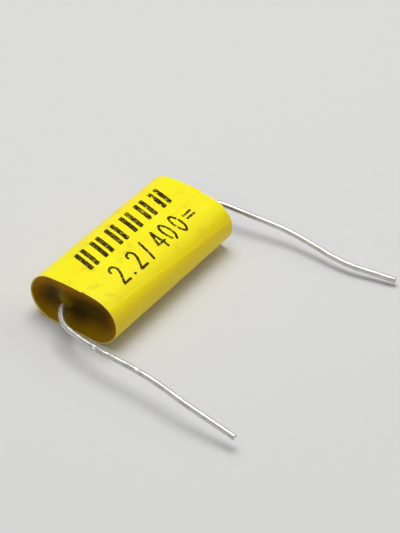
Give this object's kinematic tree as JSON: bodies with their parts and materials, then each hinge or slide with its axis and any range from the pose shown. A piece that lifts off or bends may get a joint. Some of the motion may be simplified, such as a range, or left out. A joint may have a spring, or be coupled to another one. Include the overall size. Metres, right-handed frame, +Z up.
{
  "type": "axial film capacitor",
  "caption": "Flat oval film capacitor in a yellow tape wrap, with resin-filled ends and a bent tinned wire lead from each end.",
  "frame": {"origin": "middle of the flat strip on the underside of the body, on the surface the body rests on", "axes": "+X along the body from the left end to the right end, +Y across the body away from the side to which both leads are bent, +Z up"},
  "size_m": [0.0386, 0.0352, 0.0074],
  "materials": {
    "tape": "glossy polyester tape",
    "resin": "glossy dark amber cast resin",
    "tinned_wire": "bright tinned, slightly dull where gripped",
    "solder": "satin solder",
    "sprayed_metal": "grainy matte sprayed zinc",
    "film": "metallized film, seen on edge"
  },
  "bodies": {
    "root": {"tape_wrap": "tape", "film_winding": "film", "end_spray_left": "sprayed_metal", "end_spray_right": "sprayed_metal", "solder_joint_left": "solder", "solder_joint_right": "solder", "lead_left": "tinned_wire", "lead_right": "tinned_wire", "resin_fill_left": "resin", "resin_fill_right": "resin"}
  },
  "joints": []
}
